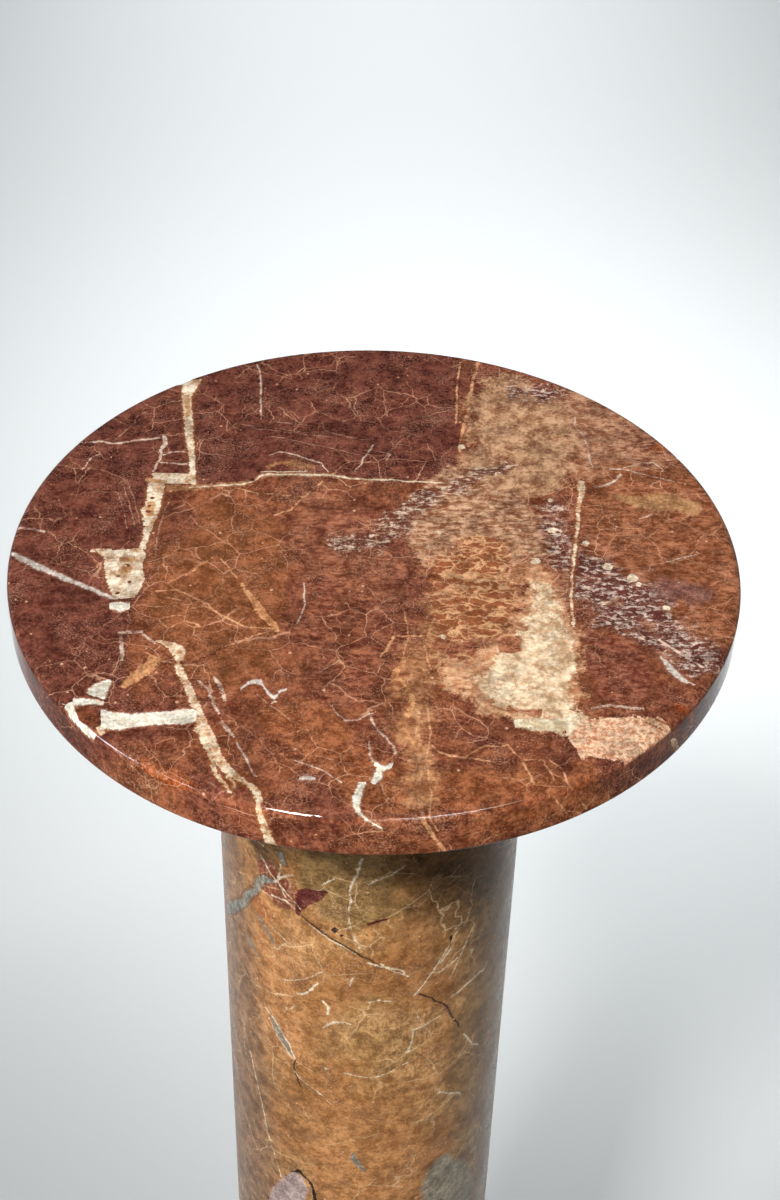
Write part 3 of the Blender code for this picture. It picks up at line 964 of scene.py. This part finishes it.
# Rows of veins: how many, the first one's height from the top, the step down and the places round the shaft
BACK_VEIN_ROWS = [
    (9, -70, 102, (-168, -124, 118, 162)),
    (5, -470, 104, (-64, -20, 24, 62)),
]


def wandering_vein(chance, x, y, heading, length, half):
    """A stroke that wanders off from a place, thickening and thinning as it goes."""
    points = []
    steps = max(4, round(length / WANDER_STEP))
    for step in range(steps):
        points.append((x, y, half * chance.uniform(0.5, 1.3)))
        turn = heading + chance.uniform(-0.5, 0.5)
        x += length / steps * math.cos(turn)
        y += length / steps * math.sin(turn)
    return points


def foot_veins():
    """Plain veins for the foot slab, which the photograph doesn't show."""
    chance = random.Random(11)
    cream = []
    hair = []
    for heading in (0.4, 1.1, 1.9, 2.6, 3.5, 4.4, 5.2, 5.9):
        x = FOOT_VEIN_START * math.cos(heading)
        y = FOOT_VEIN_START * math.sin(heading)
        cream.append(wandering_vein(chance, x, y, heading + chance.uniform(-0.8, 0.8), 74, 1.1))
        turn = heading + chance.uniform(1.9, 4.2)
        hair.append(wandering_vein(chance, -x * 0.96, -y * 0.96, turn, 60, 0.4))
    return [
        layer((176, 136, 116), (222, 198, 178), hair, handles="VECTOR", broken=True),
        layer((206, 170, 128), (240, 220, 188), cream, grain="crumbly", ragged=2.4,
              border=(0.8, (132, 78, 50)), core=(1.2, (184, 132, 88))),
    ]


def back_veins():
    """Plain veins for the parts of the shaft that the photograph doesn't show."""
    chance = random.Random(5)
    pale = []
    dark = []
    for rows, start, step, columns in BACK_VEIN_ROWS:
        for row in range(rows):
            for x in columns:
                y = start - step * row + chance.uniform(-30, 30)
                lines = pale if chance.random() < PALE_SHARE else dark
                heading = chance.uniform(-1.0, 1.0)
                lines.append(wandering_vein(chance, x, y, heading, chance.uniform(26, 52), 0.6))
    return [
        layer((66, 44, 30), (96, 70, 50), dark, ragged=1.6, cover=0.8),
        layer((186, 158, 128), (222, 204, 178), pale, ragged=1.6, handles="VECTOR"),
    ]


class SlabDrawing:
    """Strokes that lie on a slab as seen from above. Its beds dip on their way down."""

    def __init__(self, high):
        self.high = high

    def flat_place(self, centre):
        """Where a face's centre is drawn, in millimetres."""
        depth = centre.z - self.high
        return (centre.x + DIP[0] * depth) / MM, (centre.y + DIP[1] * depth) / MM

    def tile(self, x, y):
        """The tile in which a drawn place lies."""
        turn = math.atan2(y, x) / (2 * math.pi) % 1.0
        if math.hypot(x, y) < SLAB_INNER_RADIUS:
            return SLAB_SECTORS + int(turn * SLAB_INNER_SECTORS)
        return int(turn * SLAB_SECTORS)

    def lay_flat(self, stone, place):
        """The drawn place and the depth below the face, worked out by nodes."""
        parts = stone.parts(place)
        depth = stone.math("SUBTRACT", parts["Z"], self.high / UNIT)
        x = stone.math("MULTIPLY_ADD", depth, DIP[0], parts["X"])
        y = stone.math("MULTIPLY_ADD", depth, DIP[1], parts["Y"])
        return stone.flat_place(x, y), depth


class ShaftDrawing:
    """Strokes that are wrapped round a shaft from its front, with heights from the column's top."""

    def __init__(self, radius, high):
        self.radius = radius
        self.high = high

    def flat_place(self, centre):
        """Where a face's centre is drawn, in millimetres."""
        return math.atan2(centre.x, -centre.y) * self.radius / MM, (centre.z - self.high) / MM

    def tile(self, x, y):
        """The tile in which a drawn place lies."""
        sector = int((x / (2 * math.pi * self.radius / MM) + 0.5) % 1.0 * SHAFT_SECTORS)
        row = sum(y < low for low in SHAFT_TILE_LOWS)
        return row * SHAFT_SECTORS + sector

    def lay_flat(self, stone, place):
        """The drawn place and the depth below the top, worked out by nodes."""
        parts = stone.parts(place)
        ahead = stone.math("MULTIPLY", parts["Y"], -1.0)
        turn = stone.math("ARCTAN2", parts["X"], ahead)
        x = stone.math("MULTIPLY", turn, self.radius / UNIT)
        y = stone.math("SUBTRACT", parts["Z"], self.high / UNIT)
        return stone.flat_place(x, y), y


def reached_tiles(one, points, tile_of):
    """The tiles that a layer's stroke comes near."""
    border = one["border"][0] if one["border"] else 0.0
    reach = RAGGED_REACH * one["ragged"] + one["soft"] + border + TILE_MARGIN
    tiles = set()
    for (x0, y0, half0), (x1, y1, half1) in zip(points, points[1:] or points):
        steps = max(1, math.ceil(math.dist((x0, y0), (x1, y1)) / PROBE_STEP))
        far = max(half0, half1) + reach
        for step in range(steps + 1):
            x = x0 + (x1 - x0) * step / steps
            y = y0 + (y1 - y0) * step / steps
            for ring in PROBE_RINGS:
                for turn in range(PROBE_TURNS):
                    angle = 2 * math.pi * turn / PROBE_TURNS
                    tiles.add(tile_of(x + ring * far * math.cos(angle), y + ring * far * math.sin(angle)))
    return tiles


def layers_by_tile(layers, tile_of):
    """For each tile the layers that reach it, each with only the strokes that come near."""
    tiled = {}
    for index, one in enumerate(layers):
        for points in one["strokes"]:
            for tile in reached_tiles(one, points, tile_of):
                found = tiled.setdefault(tile, {})
                found.setdefault(index, {**one, "strokes": []})["strokes"].append(points)
    return {tile: [found[index] for index in sorted(found)] for tile, found in tiled.items()}


def dress(piece, name, look, drawing, fields, veins):
    """Gives each tile of a piece its own material."""
    tiled_fields = layers_by_tile(fields, drawing.tile)
    tiled_veins = layers_by_tile(veins, drawing.tile)
    slots = {}
    for polygon in piece.data.polygons:
        tile = drawing.tile(*drawing.flat_place(polygon.center))
        if tile not in slots:
            slots[tile] = len(slots)
            layers = (tiled_fields.get(tile, []), tiled_veins.get(tile, []))
            piece.data.materials.append(marble(f"{name} {tile}", look, drawing, *layers))
        polygon.material_index = slots[tile]


def stone_grains(stone, place, depth, long_way):
    """The textures that the layers share, each from 0 to 1. Streaks are longer where long_way is small."""
    grit = stone.noise(place, 1.5, 4.0, 0.75)
    clumps = stone.noise(place, 6.5, 5.0, 0.7)
    long_place = stone.vector("MULTIPLY", place, long_way)
    streaks = stone.noise(long_place, 2.0, 4.0, 0.66, 0.6)
    crumpled = stone.warped(long_place, place, 4.0, 2.2, 4.0)
    cells = stone.cells(crumpled, 4.2)

    def blend(first, second, share):
        return stone.math("MULTIPLY_ADD", first, 1 - share, stone.math("MULTIPLY", second, share))

    lines = stone.math("MULTIPLY_ADD", cells, -3.0, 0.6)
    return {
        "fine": stone.spread(blend(grit, clumps, 0.45), 0.41, 0.60),
        "streaky": stone.spread(blend(streaks, clumps, 0.35), 0.42, 0.61),
        "flecked": stone.spread(blend(streaks, grit, 0.35), 0.48, 0.60),
        "blotchy": stone.spread(blend(clumps, grit, 0.45), 0.40, 0.60),
        "celled": stone.spread(stone.math("ADD", lines, clumps), 0.70, 1.15),
        "crumbly": stone.spread(blend(grit, cells, 0.25), 0.30, 0.50),
        "broken": stone.spread(clumps, 0.36, 0.5, 0.25, 1.0),
        "torn": stone.noise(place, 12.0, 5.0, 0.78),
        "nibbled": grit,
        "shallow": stone.spread(depth, -SHALLOW_END / SPAN, -SHALLOW_START / SPAN),
    }


def add_web(stone, colour, place, size, tone, strength):
    """A fine net of hair veins, in patches."""
    crumpled = stone.warped(place, place, size * 0.6, size * 0.16, 4.0)
    web = stone.spread(stone.cells(crumpled, size), 0.002, 0.016, 1.0, 0.0)
    patches = stone.spread(stone.noise(place, 30.0, 2.0), 0.42, 0.6, 0.0, strength)
    return stone.mix(stone.math("MULTIPLY", web, patches), colour, srgb(*tone))


def add_specks(stone, colour, place):
    """Round pale specks and dark pits, each of its own size. Returns the colour and the pits."""
    inputs = {"Vector": place, "Scale": SPAN / SPECK_SIZE}
    cells = stone.add("TexVoronoi", inputs, feature="F1").outputs
    kind = stone.add("SeparateColor", {"Color": cells["Color"]}).outputs["Red"]

    def dots(rise, start):
        """1 inside dots whose radius, rise times the kind of their cell plus start, is above 0."""
        inward = stone.math("SUBTRACT", stone.math("MULTIPLY_ADD", kind, rise, start), cells["Distance"])
        return stone.math("MULTIPLY", inward, DOT_EDGE, clamp=True)

    pale = dots(0.46, -0.29)
    pits = dots(-0.34, 0.13)
    colour = stone.mix(stone.math("MULTIPLY", pale, 0.85), colour, srgb(*SPECK_TONE))
    return stone.mix(stone.math("MULTIPLY", pits, 0.7), colour, srgb(*PIT_TONE)), pits


def finish_stone(stone, place, colour, look, shader):
    """Specks and pits over the colour, then painted light that tones the sides apart from the upward faces,
    then the polish with its fine wear.
    """
    drifts = stone.noise(place, 20.0, 4.0, 0.65)
    shade = stone.noise(place, 1.6, 3.0, 0.7)
    for size, roughness, share in ((4.0, 0.65, 0.8), (13.0, 0.6, 1.1)):
        shade = stone.math("MULTIPLY_ADD", stone.noise(place, size, 3.0, roughness), share, shade)
    colour = stone.mix(1.0, colour, stone.spread(shade, 1.18, 1.72, *look["contrast"]), "MULTIPLY")
    colour, pits = add_specks(stone, colour, place)
    glints = stone.math("MULTIPLY_ADD", drifts, 0.7, stone.noise(place, 0.8, 2.0, 0.6))
    glints = stone.math("MULTIPLY", stone.spread(glints, 0.94, 1.06), look["shine"])
    colour = stone.mix(glints, colour, srgb(*GLINT_TONE))
    # Painted light: the sides take their own tone, which makes the red marble's rims lighter than its top
    upright = stone.parts(stone.add("TexCoord").outputs["Normal"])["Z"]
    facing = stone.spread(stone.math("ABSOLUTE", upright), 0.2, 0.9)
    tone = stone.mix(facing, look["side_tone_and_painted_light"], look["face_tone_and_painted_light"])
    stone.feed(shader["Base Color"], stone.mix(1.0, colour, tone, "MULTIPLY"))
    rough = stone.spread(drifts, 0.3, 0.7, look["gloss"], look["gloss"] + 0.08)
    stone.feed(shader["Roughness"], stone.math("MULTIPLY_ADD", pits, 0.3, rough))
    ripple = {"Strength": 0.3, "Distance": 0.05 * MM, "Height": stone.noise(place, 1.4, 2.0, 0.6)}
    stone.feed(shader["Normal"], stone.add("Bump", ripple).outputs["Normal"])
    for name, value in look["shader"].items():
        shader[name].default_value = value


def marble(name, look, drawing, fields, veins):
    """The material of one tile: a cloudy ground, fields of colour, two nets of hair veins and the veins."""
    material = bpy.data.materials.new(name)
    material.use_nodes = True
    stone = Writer(material.node_tree)
    source = stone.add("TexCoord").outputs["Object"]
    place = stone.vector("MULTIPLY", source, (1 / UNIT, 1 / UNIT, 1 / UNIT))
    flat, depth = drawing.lay_flat(stone, place)
    broad, narrow = look["warps"]
    places = {
        "broad": stone.warped(flat, place, BROAD_WARP, broad, 3.0),
        "narrow": stone.warped(flat, place, NARROW_WARP, narrow, 3.0),
    }
    grains = stone_grains(stone, place, depth, look["long_way"])
    clouds = stone.spread(stone.noise(place, look["clouds"], 4.0, 0.6), 0.38, 0.62)
    ground = [stone.mix(grains[grain], srgb(*dark), srgb(*light)) for grain, dark, light in look["ground"]]
    colour = stone.mix(clouds, *ground)
    if look["drifts"]:
        drifts = stone.spread(stone.noise(place, 22.0, 5.0, 0.65, 1.2), 0.5, 0.66)
        colour = stone.mix(stone.math("MULTIPLY", drifts, 0.4), colour, srgb(*look["drifts"]))
    colour = stone.paint(colour, fields, places, grains)
    for web in look["webs"]:
        colour = add_web(stone, colour, place, *web)
    colour = stone.paint(colour, veins, places, grains)
    finish_stone(stone, place, colour, look, stone.nodes["Principled BSDF"].inputs)
    return material


def make_floor(low):
    """A plain pale floor."""
    form = bmesh.new()
    bmesh.ops.create_grid(form, x_segments=1, y_segments=1, size=FLOOR_REACH)
    mesh = bpy.data.meshes.new("Floor")
    form.to_mesh(mesh)
    form.free()
    material = bpy.data.materials.new("Pale floor")
    material.use_nodes = True
    shader = material.node_tree.nodes["Principled BSDF"].inputs
    shader["Base Color"].default_value = FLOOR_COLOUR
    shader["Roughness"].default_value = FLOOR_ROUGHNESS
    mesh.materials.append(material)
    floor = link("Floor", mesh)
    floor.location.z = low


def make_world():
    """Soft light from all round, pale at the horizon and brighter behind the column than before it."""
    world = bpy.data.worlds.new("Studio")
    world.use_nodes = True
    bpy.context.scene.world = world
    sky = Writer(world.node_tree)
    way = sky.parts(sky.add("TexCoord").outputs["Generated"])
    rise = sky.spread(way["Z"], 0.02, 0.36, 0.3, 0.03)
    ahead = sky.spread(way["Y"], -0.45, 0.2, 0.3, 1.0)
    background = sky.nodes["Background"].inputs
    background["Color"].default_value = SKY_COLOUR
    sky.feed(background["Strength"], sky.math("MULTIPLY", rise, ahead))


def make_light(name, place, target, size, power, colour, spread):
    """A soft light that faces a target."""
    data = bpy.data.lights.new(name, "AREA")
    data.shape = "RECTANGLE"
    data.size, data.size_y = size
    data.energy = power
    data.color = colour
    data.spread = math.radians(spread)
    light = link(name, data)
    light.location = place
    light.rotation_euler = (Vector(target) - Vector(place)).to_track_quat("-Z", "Y").to_euler()


def make_slab(name, box, chips):
    profile = turned_profile(box, UPPER_ARRIS, LOWER_ARRIS, UPPER_ARRIS_BANDS, SLAB_SIDE_BANDS)
    return turned_piece(name, profile, SLAB_COLUMNS, SLAB_MAP, chips)


def make_shaft(name, box):
    profile = turned_profile(box, SHAFT_ARRIS, SHAFT_ARRIS, LOWER_ARRIS_BANDS, SHAFT_SIDE_BANDS)
    return turned_piece(name, profile, SHAFT_COLUMNS, SHAFT_MAP)


def build():
    boxes = {name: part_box(name) for name in ("foot_slab", "shaft", "top_slab")}
    high = boxes["top_slab"][1].z
    radius = (boxes["shaft"][1].x - boxes["shaft"][0].x) / 2
    make_camera(Vector((0.0, 0.0, high)))

    top = make_slab("Top_slab", boxes["top_slab"], TOP_CHIPS)
    foot = make_slab("Foot_slab", boxes["foot_slab"], FOOT_CHIPS)
    shaft = make_shaft("Shaft", boxes["shaft"])
    top_drawing = SlabDrawing(high)
    foot_drawing = SlabDrawing(boxes["foot_slab"][1].z)
    shaft_drawing = ShaftDrawing(radius, high)
    dress(top, "Red marble, top", RED_MARBLE, top_drawing, TOP_FIELDS, TOP_VEINS)
    dress(foot, "Red marble, foot", RED_MARBLE, foot_drawing, TOP_FIELDS[:FOOT_FIELDS], foot_veins())
    dress(shaft, "Ochre marble", OCHRE_MARBLE, shaft_drawing, SHAFT_FIELDS, SHAFT_VEINS + back_veins())
    for piece, node, slot in ((top, "top_slab", "red_marble"), (foot, "foot_slab", "red_marble"),
                              (shaft, "shaft", "ochre_marble")):
        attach(piece, "root")
        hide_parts(node)

    make_floor(boxes["foot_slab"][0].z)
    make_world()
    for light in LIGHTS:
        make_light(*light)
    bpy.context.scene.view_settings.view_transform = "Standard"


build()
